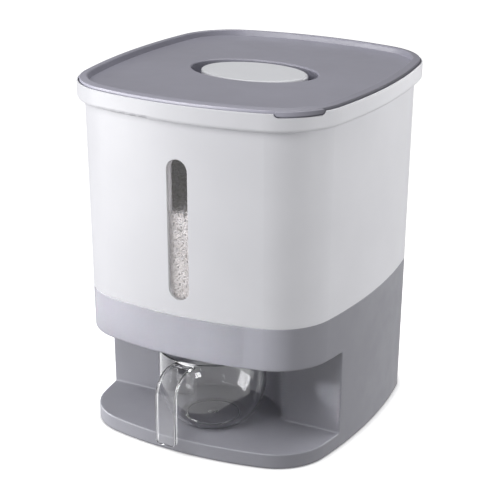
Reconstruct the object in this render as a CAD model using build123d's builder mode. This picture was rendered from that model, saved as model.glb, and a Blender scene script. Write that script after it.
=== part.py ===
from build123d import *
import math
import os

os.makedirs("parts", exist_ok=True)

# A grain dispenser: a bucket on a base, a lift-off lid, and a clear cup that works a sprung shutter.
# Millimetres. The origin is on the floor under the middle of the base, the front faces -Y and +Z is up.

# Plan of the body at the floor: four bowed sides with rounded corners
base_half_width = 116.0
base_half_depth = 128.4
front_bow_radius = 309.0
side_bow_radius = 485.0
corner_radius = 49.0

# Heights, stacked from the floor upwards
foot_proud = 1.0
tray_top = 13.7
cup_height = 67.0
cup_headroom = 8.8
skirt_height = 37.5
bucket_rise = 165.6
band_height = 15.1
ledge_depth = 5.0
lid_step = 2.2

# How far the plan grows outwards on the way up
base_flare_width = 1.9
bucket_flare_width = 2.4
band_proud = 6.3

# Walls
base_wall = 3.0
bucket_wall = 2.6
lip_wall = 1.2
funnel_wall = 2.4
lid_wall = 3.2

# Clearances, and how far a cut runs past what it cuts
fit_gap = 0.3
running_gap = 0.05
lid_gap = 1.2
overrun = 4.0
edge_pick = 0.1

# Bay in the base, with a round recess behind the cup
cup_front_inset = 53.9
bay_wall_setback = 18.5
ceiling_rise = 6.2
recess_margin = 2.2
recess_edge_radius = 8.0
bay_corner_radius = 1.5
bay_rim_radius = 1.0

# Bucket: spigot inside the skirt, corner bosses, hollow rim band
spigot_depth = 14.0
shoulder_height = 3.0
boss_radius = 5.0
boss_embed = 1.0
lug_radius = 9.0
band_edge_radius = 3.0
lip_edge_radius = 0.5

# Viewing window in the front wall
window_height = 201.6
window_length = 120.2
window_width = 19.0
window_lip = 1.0
pane_overlap = 3.0
pane_thickness = 1.6
gasket_thickness = 0.6
frame_border = 3.0
frame_lip = 5.6

# Shutter mechanism above the bay
outlet_width = 56.0
outlet_length = 6.5
outlet_setback = 8.5
gate_travel = 8.0
gate_thickness = 2.5
gate_half_width = 34.0
gate_margin = 6.0
drop_margin = 2.0
rail_width = 8.0
rail_length = 46.0
flange_border = 12.0
flange_boss_radius = 3.6
flange_boss_height = 3.0
gate_screw_spread = 9.0
paddle_width = 24.0
paddle_thickness = 2.5
paddle_length = 45.0
paddle_foot_length = 12.0
paddle_foot_thickness = 2.0
paddle_corner_radius = 6.0
paddle_slot_gap = 0.8
paddle_screw_spacing = 14.0
ear_width = 8.0
ear_thickness = 2.5
ear_height = 9.0
spring_rise = 4.7
spring_length = 24.0
spring_outer_radius = 3.4
spring_wire = 1.0
pin_radius = 1.5
pin_tail = 2.0
post_thickness = 3.5
post_width = 10.0
post_cap = 4.5
shelf_border = 3.0

# Sloping hopper floor, in degrees from level
rear_slope_angle = 30.0
side_slope_angle = 32.0
front_slope_angle = 22.0

# Lid: raised rim, plug wall with a seal, oval well, corner tab
rim_crest = 6.8
rim_foot = 8.0
rim_rise = 1.2
rim_edge_radius = 1.3
rim_outer_radius = 0.6
plug_depth = 12.0
plug_wall = 2.0
seal_thickness = 1.4
seal_height = 5.0
plug_lip_height = 2.4
plug_lip_width = 0.9
well_half_length = 58.0
well_half_width = 37.5
well_depth = 14.7
well_wall = 2.4
well_edge_radius = 1.2
tab_start_angle = -67.0
tab_end_angle = -28.0
tab_thickness = 3.7
tab_drop = 1.9
tab_inset = 0.4
tab_corner_radius = 2.4
tab_edge_radius = 1.2
tab_end_gap = 1.2
notch_gap = 1.2

# Grip in the lid's well
grip_half_length = 48.5
grip_half_width = 33.0
grip_sink = 0.8
grip_cap_height = 8.1
grip_stem_inset = 11.0
grip_edge_radius = 2.2
grip_screw_spacing = 40.0

# Measuring cup: part of a sphere below, a cylinder above, and a strap handle with edge ribs
cup_radius = 47.0
cup_equator = 36.0
cup_wall = 1.8
cup_floor = 2.4
cup_base_radius = 22.8
cup_base_hollow = 1.0
cup_nub_radius = 2.2
handle_width = 19.2
handle_drop = 1.0
handle_reach = 31.0
handle_bend_radius = 22.0
handle_thickness = 2.2
handle_rib_depth = 3.6
handle_rib_width = 1.5
handle_end_clearance = 4.4
handle_end_radius = 4.0
cup_turn = 1.6

# Bottom cover, feet and screws
cover_thickness = 3.0
cover_boss_height = 26.0
cover_side_boss_y = 20.0
foot_radius = 9.0
foot_pocket_depth = 1.6
foot_corner_reach = 22.0
foot_edge_radius = 0.5
screw_radius = 1.5
screw_gap = 0.15
screw_head_radius = 3.0
screw_head_height = 1.4
screw_bite = 6.0
screw_slot_width = 0.7
screw_slot_depth = 0.7

# Levels and places worked out from the values above
cup_bottom = tray_top + fit_gap
cup_top = cup_bottom + cup_height
skirt_bottom = cup_top + cup_headroom
seam_height = skirt_bottom + skirt_height
neck_height = seam_height + bucket_rise
band_top = neck_height + band_height
ledge_height = band_top - ledge_depth
rim_edge_height = band_top + lid_step
lid_top = rim_edge_height + rim_rise
deck_bottom = tray_top - base_wall
ceiling_bottom = skirt_bottom + ceiling_rise
ceiling_top = ceiling_bottom + base_wall
cover_top = foot_proud + cover_thickness
panel_top = ledge_height + lid_wall

seam_grow = base_flare_width
neck_grow = seam_grow + bucket_flare_width
band_grow = neck_grow + band_proud
pocket_grow = band_grow - lip_wall
lid_grow = pocket_grow - lid_gap
spigot_inset = base_wall + fit_gap

cup_y = cup_front_inset - base_half_depth
bay_wall_y = cup_y + bay_wall_setback
recess_radius = cup_radius + fit_gap + paddle_thickness + gate_travel + recess_margin

outlet_y = cup_y + outlet_setback
gate_bottom = ceiling_top + fit_gap
gate_top = gate_bottom + gate_thickness
paddle_foot_top = gate_top + paddle_foot_thickness
flange_bottom = gate_top + fit_gap
throat_top = flange_bottom + funnel_wall
gate_slot_y = outlet_y - gate_travel
gate_front = gate_slot_y - outlet_length / 2 - gate_margin
paddle_front = cup_y + cup_radius + fit_gap
rail_x = gate_half_width + fit_gap + rail_width / 2
flange_half_width = gate_half_width + fit_gap + rail_width
flange_length = outlet_length + 2 * flange_border
spring_x = gate_half_width - ear_width / 2
spring_z = gate_top + spring_rise
post_front = paddle_front + spring_length
screw_hole_radius = screw_radius + screw_gap


def corner_centre():
    """Centre of a corner arc, which touches the front or back bow and a side bow from inside."""
    front_offset = front_bow_radius - base_half_depth
    side_offset = side_bow_radius - base_half_width
    front_reach = front_bow_radius - corner_radius
    side_reach = side_bow_radius - corner_radius
    apart = math.hypot(front_offset, side_offset)
    along = (front_reach**2 - side_reach**2 + apart**2) / (2 * apart)
    across = math.sqrt(front_reach**2 - along**2)
    x = (across * front_offset - along * side_offset) / apart
    y = (across * side_offset + along * front_offset) / apart - front_offset
    return x, y


corner_x, corner_y = corner_centre()


def corner_places(reach):
    """The four places at one distance from the corner centres, on the diagonals."""
    step = reach / math.sqrt(2)
    return GridLocations(2 * (corner_x + step), 2 * (corner_y + step), 2, 2)


def outline(grow):
    """The body's plan, grown evenly on all sides from its size at the floor."""
    front_centre = front_bow_radius - base_half_depth
    side_centre = side_bow_radius - base_half_width
    with BuildSketch() as plan:
        with Locations((0, front_centre)):
            Circle(front_bow_radius + grow)
        with Locations((0, -front_centre)):
            Circle(front_bow_radius + grow, mode=Mode.INTERSECT)
        with Locations((side_centre, 0)):
            Circle(side_bow_radius + grow, mode=Mode.INTERSECT)
        with Locations((-side_centre, 0)):
            Circle(side_bow_radius + grow, mode=Mode.INTERSECT)
        fillet(plan.vertices(), corner_radius + grow)
    return plan.sketch


def base_grow(height):
    """How far the base's flared surface stands out at a height."""
    return base_flare_width * (height - foot_proud) / (seam_height - foot_proud)


def bucket_grow(height):
    """How far the bucket's flared surface stands out at a height."""
    return seam_grow + bucket_flare_width * (height - seam_height) / (ledge_height - seam_height)


def drafted(bottom, top, grow, inset=0.0, mode=Mode.ADD):
    """A block between two levels that keeps a distance inside a flared surface."""
    sections = []
    for level in (bottom, top):
        with BuildSketch(Plane.XY.offset(level)) as section:
            add(outline(grow(level) - inset))
        sections.append(section.sketch)
    loft(sections, ruled=True, mode=mode)


def upright(bottom, top, grow, mode=Mode.ADD):
    """A block of the body's plan with upright sides."""
    with BuildSketch(Plane.XY.offset(bottom)) as section:
        add(outline(grow))
    extrude(section.sketch, amount=top - bottom, mode=mode)


def bay_plan(grow):
    """The bay from above: all that lies before its wall, and the round recess behind the cup."""
    with BuildSketch() as plan:
        with Locations((0, bay_wall_y + grow)):
            Rectangle(4 * base_half_depth, 2 * base_half_depth, align=(Align.CENTER, Align.MAX))
        with Locations((0, cup_y)):
            Circle(recess_radius + grow)
        meeting = plan.vertices().filter_by(lambda v: abs(v.X) < recess_radius + grow)
        fillet(meeting, recess_edge_radius + base_wall - grow)
    return plan.sketch


def bay_block(bottom, top, grow, mode=Mode.ADD):
    """The bay's plan as an upright block."""
    with BuildSketch(Plane.XY.offset(bottom)) as section:
        add(bay_plan(grow))
    extrude(section.sketch, amount=top - bottom, mode=mode)


def post(radius, bottom, top, mode=Mode.ADD):
    """An upright cylinder between two levels at each place in use."""
    with Locations((0, 0, bottom)):
        Cylinder(radius, top - bottom, align=(Align.CENTER, Align.CENTER, Align.MIN), mode=mode)


def screw(seat, shank_length):
    """A pan-head screw that points up, its head under a seat, at each place in use."""
    post(screw_head_radius, seat - screw_head_height, seat)
    post(screw_radius, seat, seat + shank_length)
    with Locations((0, 0, seat - screw_head_height)):
        Box(2 * screw_radius, screw_slot_width, 2 * screw_slot_depth, mode=Mode.SUBTRACT)
        Box(screw_slot_width, 2 * screw_radius, 2 * screw_slot_depth, mode=Mode.SUBTRACT)


def finish(part, name):
    """Labels a piece and writes it."""
    part.label = name
    export_step(part, f"parts/{name}.step")


cover_boss_reach = base_half_depth - base_wall - boss_radius + boss_embed
cover_boss_side = base_half_width - base_wall - boss_radius + boss_embed
cover_boss_rear_places = (
    (0, cover_boss_reach),
    (-cover_boss_side, cover_side_boss_y),
    (cover_boss_side, cover_side_boss_y),
)
cover_boss_front_place = (0, -cover_boss_reach)
cover_boss_places = cover_boss_rear_places + (cover_boss_front_place,)
bucket_boss_reach = corner_radius + seam_grow - spigot_inset - bucket_wall - boss_radius + boss_embed
gate_screw_places = [
    (side * rail_x, outlet_y + step) for side in (-1, 1) for step in (-gate_screw_spread, gate_screw_spread)
]

# Base: outer wall, tray, bay wall with its recess, and the ceiling that carries the shutter
with BuildPart() as base_tube:
    drafted(foot_proud, seam_height, base_grow)
    drafted(foot_proud, seam_height, base_grow, base_wall, Mode.SUBTRACT)

with BuildPart() as bay_under_ceiling:
    bay_block(skirt_bottom, ceiling_bottom, 0)
    drafted(foot_proud, seam_height, base_grow, base_wall, Mode.INTERSECT)

with BuildPart() as base_shell:
    bay_block(deck_bottom, ceiling_top, base_wall)
    shelf_rear = post_front + post_thickness + shelf_border
    shelf_half_width = spring_x + post_width / 2 + shelf_border
    with BuildSketch(Plane.XY.offset(ceiling_bottom)):
        with Locations((0, cup_y)):
            Rectangle(2 * shelf_half_width, shelf_rear - cup_y, align=(Align.CENTER, Align.MIN))
    extrude(amount=base_wall)
    with corner_places(bucket_boss_reach):
        post(lug_radius, ceiling_bottom, ceiling_top)
    with Locations(*cover_boss_rear_places):
        post(boss_radius, cover_top, cover_top + cover_boss_height)
    with Locations(cover_boss_front_place):
        post(boss_radius, cover_top, deck_bottom)
    drafted(foot_proud, seam_height, base_grow, mode=Mode.INTERSECT)
    add(base_tube.part)
    bay_block(tray_top, skirt_bottom, 0, Mode.SUBTRACT)
    add(bay_under_ceiling.part, mode=Mode.SUBTRACT)
    for side in (-1, 1):
        with Locations((side * spring_x, post_front, ceiling_top)):
            Box(
                post_width,
                post_thickness,
                spring_z + post_cap - ceiling_top,
                align=(Align.CENTER, Align.MIN, Align.MIN),
            )
        with Locations(Plane.XZ.offset(-post_front) * Location((side * spring_x, spring_z))):
            Cylinder(pin_radius + running_gap, 2 * (post_thickness + overrun), mode=Mode.SUBTRACT)
    with Locations((0, outlet_y, ceiling_bottom)):
        Box(
            outlet_width + 2 * drop_margin,
            outlet_length + 2 * drop_margin,
            2 * (base_wall + overrun),
            mode=Mode.SUBTRACT,
        )
    with Locations((0, paddle_front - paddle_slot_gap, ceiling_bottom)):
        Box(
            paddle_width + 2 * paddle_slot_gap,
            gate_travel + paddle_thickness + 2 * paddle_slot_gap,
            2 * (base_wall + overrun),
            align=(Align.CENTER, Align.MIN, Align.CENTER),
            mode=Mode.SUBTRACT,
        )
    with Locations(*gate_screw_places):
        post(screw_hole_radius, ceiling_bottom - overrun, ceiling_top + overrun, Mode.SUBTRACT)
    with corner_places(bucket_boss_reach):
        post(screw_hole_radius, ceiling_bottom - overrun, ceiling_top + overrun, Mode.SUBTRACT)
    with Locations(*cover_boss_places):
        post(screw_hole_radius, cover_top - overrun, cover_top + screw_bite + fit_gap, Mode.SUBTRACT)
    bay_levels = [
        base_shell.edges().filter_by_position(Axis.Z, level - edge_pick, level + edge_pick)
        for level in (tray_top, skirt_bottom)
    ]
    inner_corners = bay_levels[0].filter_by(lambda e: e.center().Y > bay_wall_y - edge_pick)
    inner_corners += bay_levels[1].filter_by(lambda e: abs(e.center().Y - bay_wall_y) < edge_pick)
    fillet(inner_corners, bay_corner_radius)
    rim_level = base_shell.edges().filter_by_position(Axis.Z, tray_top - edge_pick, tray_top + edge_pick)
    fillet(rim_level.filter_by(lambda e: e.center().Y < bay_wall_y - edge_pick), bay_rim_radius)
finish(base_shell.part, "base_shell")

# Bottom cover with pockets for the feet and sunk screw heads
with BuildPart() as bottom_cover:
    upright(foot_proud, cover_top, -base_wall - fit_gap)
    with corner_places(foot_corner_reach):
        post(foot_radius + running_gap, foot_proud - overrun, foot_proud + foot_pocket_depth, Mode.SUBTRACT)
    with Locations(*cover_boss_places):
        post(screw_hole_radius, foot_proud - overrun, cover_top + overrun, Mode.SUBTRACT)
        post(
            screw_head_radius + fit_gap,
            foot_proud - overrun,
            foot_proud + screw_head_height + fit_gap,
            Mode.SUBTRACT,
        )
finish(bottom_cover.part, "bottom_cover")

with BuildPart() as bottom_screws:
    with Locations(*cover_boss_places):
        screw_seat = foot_proud + screw_head_height + fit_gap
        screw(screw_seat, cover_top - screw_seat + screw_bite)
finish(bottom_screws.part, "bottom_screws")

with BuildPart() as rubber_feet:
    with corner_places(foot_corner_reach):
        post(foot_radius, 0, foot_proud + foot_pocket_depth)
    fillet(rubber_feet.edges().group_by(Axis.Z)[0], foot_edge_radius)
finish(rubber_feet.part, "rubber_feet")

# Bucket: flared wall, spigot and shoulder below, hollow band and lid pocket above, window rebate in front
wall_slope = bucket_flare_width / (ledge_height - seam_height)
window_face = Plane(
    origin=(0, -base_half_depth - bucket_grow(window_height), window_height),
    x_dir=(1, 0, 0),
    z_dir=(0, -1, -wall_slope),
)
pane_depth = window_lip + gasket_thickness
pad_depth = max(bucket_wall, pane_depth + pane_thickness)
pane_border = 2 * pane_overlap
frame_outer_border = pane_border + 2 * frame_border


def window_slot(border, mode=Mode.ADD):
    """The window's upright round-ended slot, widened by a border."""
    SlotOverall(window_length + border, window_width + border, rotation=90, mode=mode)


def tab_sector(outer_grow, inner_grow, end_gap):
    """The corner stretch of a rim that the lid's pull tab takes up, from above."""
    reach = 2 * corner_radius
    gap_angle = math.degrees(end_gap / (corner_radius + lid_grow))
    ends = [math.radians(angle) for angle in (tab_start_angle - gap_angle, tab_end_angle + gap_angle)]
    with BuildSketch() as plan:
        add(outline(outer_grow))
        add(outline(inner_grow), mode=Mode.SUBTRACT)
        corner = (corner_x, -corner_y)
        rays = [(corner_x + reach * math.cos(a), reach * math.sin(a) - corner_y) for a in ends]
        Polygon(corner, *rays, align=None, mode=Mode.INTERSECT)
    return plan.sketch


tab_bottom = band_top - tab_drop
with BuildPart() as rim_band:
    upright(neck_height, band_top, band_grow)
    fillet(rim_band.edges().group_by(Axis.Z)[0], band_edge_radius)
    fillet(rim_band.edges().group_by(Axis.Z)[-1], lip_edge_radius)

with BuildPart() as tab_notch:
    with BuildSketch(Plane.XY.offset(tab_bottom - notch_gap)):
        add(tab_sector(band_grow + overrun, pocket_grow - lip_wall, tab_end_gap))
    extrude(amount=ledge_depth + overrun)
    notch_ends = tab_notch.edges().group_by(Axis.Z)[0].filter_by(GeomType.LINE)
    fillet(notch_ends, tab_corner_radius + notch_gap)

with BuildPart() as bucket:
    drafted(seam_height, ledge_height, bucket_grow)
    add(rim_band.part)
    drafted(seam_height - spigot_depth, seam_height, base_grow, spigot_inset)
    upright(ledge_height, band_top + overrun, pocket_grow, Mode.SUBTRACT)
    drafted(seam_height + shoulder_height, ledge_height + overrun, bucket_grow, bucket_wall, Mode.SUBTRACT)
    drafted(
        seam_height - spigot_depth - overrun,
        seam_height + shoulder_height,
        base_grow,
        spigot_inset + bucket_wall,
        Mode.SUBTRACT,
    )
    with BuildSketch(Plane.XY.offset(neck_height)):
        add(outline(band_grow - bucket_wall))
        add(outline(neck_grow), mode=Mode.SUBTRACT)
    extrude(amount=ledge_height - bucket_wall - neck_height, mode=Mode.SUBTRACT)
    with corner_places(bucket_boss_reach):
        post(boss_radius, ceiling_top, seam_height + shoulder_height)
    with corner_places(bucket_boss_reach):
        post(screw_hole_radius, ceiling_top - overrun, ceiling_top + screw_bite + fit_gap, Mode.SUBTRACT)
    with BuildSketch(window_face.offset(-bucket_wall / 2)):
        window_slot(frame_outer_border)
    extrude(amount=bucket_wall / 2 - pad_depth)
    with BuildSketch(window_face.offset(overrun)):
        window_slot(0)
    extrude(amount=-2 * overrun - pad_depth, mode=Mode.SUBTRACT)
    with BuildSketch(window_face.offset(-window_lip)):
        window_slot(pane_border + 2 * running_gap)
    extrude(amount=-overrun - pad_depth, mode=Mode.SUBTRACT)
    add(tab_notch.part, mode=Mode.SUBTRACT)
finish(bucket.part, "bucket")

with BuildPart() as bucket_screws:
    with corner_places(bucket_boss_reach):
        screw(ceiling_bottom, base_wall + screw_bite)
finish(bucket_screws.part, "bucket_screws")

# Window: gasket and clear pane in the wall's rebate, and a retaining frame behind them
with BuildPart() as window_gasket:
    with BuildSketch(window_face.offset(-window_lip)):
        window_slot(pane_border)
        window_slot(0, Mode.SUBTRACT)
    extrude(amount=-gasket_thickness)
finish(window_gasket.part, "window_gasket")

with BuildPart() as window_pane:
    with BuildSketch(window_face.offset(-pane_depth)):
        window_slot(pane_border)
    extrude(amount=-pane_thickness)
finish(window_pane.part, "window_pane")

with BuildPart() as window_frame:
    with BuildSketch(window_face.offset(-pad_depth)):
        window_slot(frame_outer_border)
        window_slot(0, Mode.SUBTRACT)
    extrude(amount=-frame_lip)
finish(window_frame.part, "window_frame")

# Funnel: four slopes to the outlet, trimmed to the hopper, and a flange on the rails
funnel_rise = (base_half_depth + neck_grow - outlet_y) * math.tan(math.radians(rear_slope_angle))


def slope_run(slope):
    """How far a slope runs outwards while it climbs the funnel's full rise."""
    return funnel_rise / math.tan(math.radians(slope))


def funnel_block(bottom, mode=Mode.ADD):
    """The funnel's inside as a block, from the outlet upwards."""
    with BuildSketch(Plane.XY.offset(bottom)) as outlet:
        with Locations((0, outlet_y)):
            Rectangle(outlet_width, outlet_length)
    front_run = slope_run(front_slope_angle)
    rear_run = slope_run(rear_slope_angle)
    with BuildSketch(Plane.XY.offset(bottom + funnel_rise)) as mouth:
        with Locations((0, outlet_y + (rear_run - front_run) / 2)):
            Rectangle(outlet_width + 2 * slope_run(side_slope_angle), outlet_length + front_run + rear_run)
    loft([outlet.sketch, mouth.sketch], ruled=True, mode=mode)


with BuildPart() as hopper_cavity:
    shoulder_top = seam_height + shoulder_height + fit_gap
    drafted(
        flange_bottom - overrun,
        shoulder_top + fit_gap,
        base_grow,
        spigot_inset + bucket_wall + fit_gap,
    )
    drafted(shoulder_top, ledge_height, bucket_grow, bucket_wall + fit_gap)

with BuildPart() as funnel:
    funnel_block(flange_bottom)
    funnel_block(throat_top, Mode.SUBTRACT)
    add(hopper_cavity.part, mode=Mode.INTERSECT)
    with Locations((0, outlet_y, flange_bottom)):
        Box(
            2 * flange_half_width,
            flange_length,
            funnel_wall,
            align=(Align.CENTER, Align.CENTER, Align.MIN),
        )
    with Locations(*gate_screw_places):
        post(flange_boss_radius, flange_bottom, throat_top + flange_boss_height)
    with Locations((0, outlet_y, throat_top)):
        Box(outlet_width, outlet_length, 2 * (funnel_wall + overrun), mode=Mode.SUBTRACT)
    with Locations(*gate_screw_places):
        post(screw_hole_radius, flange_bottom - overrun, throat_top + flange_boss_height / 2, Mode.SUBTRACT)
finish(funnel.part, "funnel")

# Shutter: plate with its own slot and two ears for the springs, between two rails
for side, name in ((-1, "gate_rail_left"), (1, "gate_rail_right")):
    with BuildPart() as gate_rail:
        with Locations((side * rail_x, gate_front, ceiling_top)):
            Box(
                rail_width,
                rail_length,
                flange_bottom - ceiling_top,
                align=(Align.CENTER, Align.MIN, Align.MIN),
            )
        with Locations(*gate_screw_places):
            post(screw_hole_radius, ceiling_top - overrun, flange_bottom + overrun, Mode.SUBTRACT)
    finish(gate_rail.part, name)

with BuildPart() as gate_screws:
    with Locations(*gate_screw_places):
        screw(ceiling_bottom, throat_top - ceiling_bottom)
finish(gate_screws.part, "gate_screws")

paddle_screw_y = paddle_front - paddle_foot_length / 2
paddle_screw_places = [(side * paddle_screw_spacing / 2, paddle_screw_y) for side in (-1, 1)]
with BuildPart() as gate_plate:
    with Locations((0, gate_front, gate_bottom)):
        Box(
            2 * gate_half_width,
            paddle_front - gate_front,
            gate_thickness,
            align=(Align.CENTER, Align.MIN, Align.MIN),
        )
    with Locations((0, gate_slot_y, gate_bottom)):
        Box(outlet_width, outlet_length, 2 * (gate_thickness + overrun), mode=Mode.SUBTRACT)
    for side in (-1, 1):
        with Locations((side * spring_x, paddle_front, gate_bottom)):
            Box(
                ear_width,
                ear_thickness,
                gate_thickness + ear_height,
                align=(Align.CENTER, Align.MAX, Align.MIN),
            )
        with Locations(Plane.XZ.offset(-paddle_front) * Location((side * spring_x, spring_z))):
            Cylinder(pin_radius + running_gap, 2 * (ear_thickness + overrun), mode=Mode.SUBTRACT)
    with Locations(*paddle_screw_places):
        post(screw_hole_radius, gate_bottom - overrun, gate_top + overrun, Mode.SUBTRACT)
finish(gate_plate.part, "gate_plate")

with BuildPart() as push_paddle:
    with Locations((0, paddle_front, paddle_foot_top)):
        Box(
            paddle_width,
            paddle_thickness,
            paddle_length,
            align=(Align.CENTER, Align.MIN, Align.MAX),
        )
        Box(
            paddle_width,
            paddle_foot_length,
            paddle_foot_thickness,
            align=(Align.CENTER, Align.MAX, Align.MAX),
        )
    lower_corners = push_paddle.edges().filter_by(Axis.Y).group_by(Axis.Z)[0]
    fillet(lower_corners, paddle_corner_radius)
    with Locations(*paddle_screw_places):
        post(screw_hole_radius, gate_top - overrun, paddle_foot_top + overrun, Mode.SUBTRACT)
finish(push_paddle.part, "push_paddle")

with BuildPart() as paddle_screws:
    with Locations(*paddle_screw_places):
        post(screw_head_radius, paddle_foot_top, paddle_foot_top + screw_head_height)
        post(screw_radius, gate_bottom, paddle_foot_top)
finish(paddle_screws.part, "paddle_screws")

# Return springs on their guide pins, behind the shutter's ears
for side, hand in ((-1, "left"), (1, "right")):
    with BuildPart() as return_spring:
        with BuildSketch(Plane.XZ.offset(-paddle_front)):
            with Locations((side * spring_x, spring_z)):
                Circle(spring_outer_radius)
                Circle(spring_outer_radius - spring_wire, mode=Mode.SUBTRACT)
        extrude(amount=-spring_length)
    finish(return_spring.part, f"return_spring_{hand}")

    with BuildPart() as spring_pin:
        pin_front = paddle_front - ear_thickness - pin_tail
        with BuildSketch(Plane.XZ.offset(-pin_front)):
            with Locations((side * spring_x, spring_z)):
                Circle(pin_radius)
        extrude(amount=pin_front - post_front - post_thickness)
    finish(spring_pin.part, f"spring_pin_{hand}")

# Lid: panel on the ledge, raised rim, plug wall, oval well, and a pull tab at the front right corner
mouth_grow = bucket_grow(ledge_height - plug_depth) - bucket_wall
plug_grow = mouth_grow - fit_gap - seal_thickness
plug_bottom = ledge_height - plug_depth
well_floor = panel_top - well_depth
with BuildPart() as pull_tab:
    with BuildSketch(Plane.XY.offset(tab_bottom)):
        add(tab_sector(band_grow - tab_inset, lid_grow - rim_crest / 2, 0))
    extrude(amount=tab_thickness)
    fillet(pull_tab.edges().group_by(Axis.Z)[-1], tab_edge_radius)
    tab_ends = pull_tab.edges().group_by(Axis.Z)[0].filter_by(GeomType.LINE)
    fillet(tab_ends, tab_corner_radius)


def rim_top_grow(height):
    """The rim's top, which climbs inwards from the lid's edge to the crest."""
    return lid_grow - rim_crest * (height - rim_edge_height) / rim_rise


def rim_wall_grow(height):
    """The rim's steep inner wall, from its foot on the panel to the crest."""
    return lid_grow - rim_foot + (rim_foot - rim_crest) * (height - panel_top) / (lid_top - panel_top)


with BuildPart() as lid:
    upright(ledge_height, rim_edge_height, lid_grow)
    drafted(rim_edge_height, lid_top + rim_rise, rim_top_grow)
    drafted(panel_top, lid_top + overrun, rim_wall_grow, mode=Mode.SUBTRACT)
    crest_edges = lid.edges().filter_by_position(Axis.Z, lid_top - edge_pick, lid_top + edge_pick)
    fillet(crest_edges, rim_edge_radius)
    edge_levels = (rim_edge_height - edge_pick, rim_edge_height + edge_pick)
    fillet(lid.edges().filter_by_position(Axis.Z, *edge_levels), rim_outer_radius)
    with BuildSketch(Plane.XY.offset(plug_bottom)):
        add(outline(plug_grow))
        add(outline(plug_grow - plug_wall), mode=Mode.SUBTRACT)
    extrude(amount=plug_depth)
    with BuildSketch(Plane.XY.offset(plug_bottom)):
        add(outline(plug_grow + plug_lip_width))
        add(outline(plug_grow - plug_wall), mode=Mode.SUBTRACT)
    extrude(amount=plug_lip_height)
    with BuildSketch(Plane.XY.offset(well_floor - well_wall)):
        Ellipse(well_half_length + well_wall, well_half_width + well_wall)
    extrude(amount=ledge_height - well_floor + well_wall)
    with BuildSketch(Plane.XY.offset(well_floor)):
        Ellipse(well_half_length, well_half_width)
    extrude(amount=well_depth + overrun, mode=Mode.SUBTRACT)
    well_edges = lid.edges().filter_by_position(Axis.Z, panel_top - edge_pick, panel_top + edge_pick)
    fillet(well_edges.filter_by(lambda e: e.is_closed), well_edge_radius)
    add(pull_tab.part)
    with Locations((-grip_screw_spacing / 2, 0), (grip_screw_spacing / 2, 0)):
        post(screw_hole_radius, well_floor - well_wall - overrun, well_floor + overrun, Mode.SUBTRACT)
finish(lid.part, "lid")

with BuildPart() as lid_seal:
    with BuildSketch(Plane.XY.offset(plug_bottom + plug_lip_height)):
        add(outline(plug_grow + seal_thickness))
        add(outline(plug_grow), mode=Mode.SUBTRACT)
    extrude(amount=seal_height)
finish(lid_seal.part, "lid_seal")

# Grip: oval cap on a narrower stem, so that fingers reach under both ends
grip_top = panel_top - grip_sink
with BuildPart() as lid_grip:
    with BuildSketch(Plane.XY.offset(grip_top - grip_cap_height)):
        Ellipse(grip_half_length, grip_half_width)
    extrude(amount=grip_cap_height)
    fillet(lid_grip.edges().group_by(Axis.Z)[-1], grip_edge_radius)
    with BuildSketch(Plane.XY.offset(well_floor)):
        Ellipse(grip_half_length - grip_stem_inset, grip_half_width - grip_stem_inset)
    extrude(amount=grip_top - grip_cap_height - well_floor)
    with Locations((-grip_screw_spacing / 2, 0), (grip_screw_spacing / 2, 0)):
        post(screw_hole_radius, well_floor - overrun, well_floor + screw_bite + fit_gap, Mode.SUBTRACT)
finish(lid_grip.part, "lid_grip")

with BuildPart() as grip_screws:
    with Locations((-grip_screw_spacing / 2, 0), (grip_screw_spacing / 2, 0)):
        screw(well_floor - well_wall, well_wall + screw_bite)
finish(grip_screws.part, "grip_screws")

# Measuring cup: bowl turned about its own axis, strap handle in front
cup_section = Plane(origin=(0, cup_y, cup_bottom), x_dir=(1, 0, 0), z_dir=(0, -1, 0))
cup_side = Plane(origin=(0, cup_y, cup_bottom), x_dir=(0, 1, 0), z_dir=(1, 0, 0))
cup_inner_radius = cup_radius - cup_wall
foot_angle = math.degrees(math.asin(cup_equator / cup_radius))
floor_angle = math.degrees(math.asin((cup_equator - cup_floor) / cup_inner_radius))


def handle_strap(depth):
    """The handle from the side: its outer face stays put and its thickness grows inwards."""
    level = cup_height - handle_drop - depth / 2
    front = -cup_radius - handle_reach + depth / 2
    end = handle_end_clearance
    with BuildSketch() as strap:
        with BuildLine():
            FilletPolyline(
                (cup_wall / 2 - cup_radius, level),
                (front, level),
                (front, end),
                radius=handle_bend_radius - depth / 2,
            )
        trace(line_width=depth)
    return strap.sketch


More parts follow.
